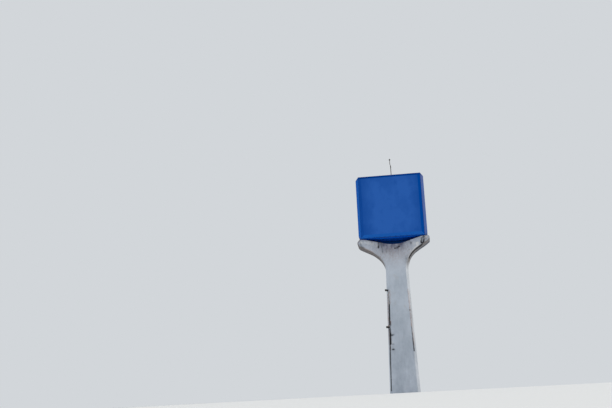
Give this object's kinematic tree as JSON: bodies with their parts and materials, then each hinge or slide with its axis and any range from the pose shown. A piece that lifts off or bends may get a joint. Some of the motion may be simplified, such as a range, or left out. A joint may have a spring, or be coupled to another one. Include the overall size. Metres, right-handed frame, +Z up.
{
  "type": "water tower",
  "caption": "Square tank of bevelled blue panels on the flared arms of a tapering concrete pylon, with a lightning rod and stand-off insulators.",
  "frame": {"origin": "middle of the pylon's foot, on the surface it stands on", "axes": "+Z up, -Y is the front with the tank's broad face, +X to the right seen from the front"},
  "size_m": [2.577, 1.31, 8.54],
  "materials": {
    "concrete": "painted cast concrete, weathered",
    "tank_panel": "glossy blue enamel on pressed sheet, faded",
    "tank_frame": "blue enamel on steel angle",
    "tank_underside": "navy enamel on steel plate",
    "pad": "black rubber bearing",
    "galvanised": "galvanised, dull",
    "insulator": "dark glazed",
    "standoff": "black paint with rust",
    "conductor": "black bituminous paint with rust"
  },
  "bodies": {
    "root": {"pylon_foot": "concrete", "pylon_lower_lift": "concrete", "pylon_middle_lift": "concrete", "pylon_upper_lift": "concrete", "saddle_head": "concrete", "front_panel": "tank_panel", "back_panel": "tank_panel", "left_panel": "tank_panel", "right_panel": "tank_panel", "tank_roof": "tank_panel", "front_left_post": "tank_frame", "front_right_post": "tank_frame", "back_right_post": "tank_frame", "back_left_post": "tank_frame", "front_bottom_rail": "tank_frame", "front_top_rail": "tank_frame", "back_bottom_rail": "tank_frame", "back_top_rail": "tank_frame", "left_bottom_rail": "tank_frame", "left_top_rail": "tank_frame", "right_bottom_rail": "tank_frame", "right_top_rail": "tank_frame", "roof_hatch_curb": "tank_frame", "roof_hatch_lid": "tank_frame", "tank_floor": "tank_underside", "left_seat_pad": "pad", "right_seat_pad": "pad", "rod_base": "galvanised", "rod_lower": "galvanised", "rod_upper": "galvanised", "rod_tip": "galvanised", "conductor_clip_1": "galvanised", "conductor_clip_2": "galvanised", "conductor_clip_3": "galvanised", "conductor_clip_4": "galvanised", "upper_insulator": "insulator", "lower_insulator": "insulator", "upper_standoff_plate": "standoff", "upper_standoff_arm": "standoff", "lower_standoff_plate": "standoff", "lower_standoff_arm": "standoff", "conductor_lower_run": "conductor", "conductor_upper_run": "conductor"}
  },
  "joints": []
}
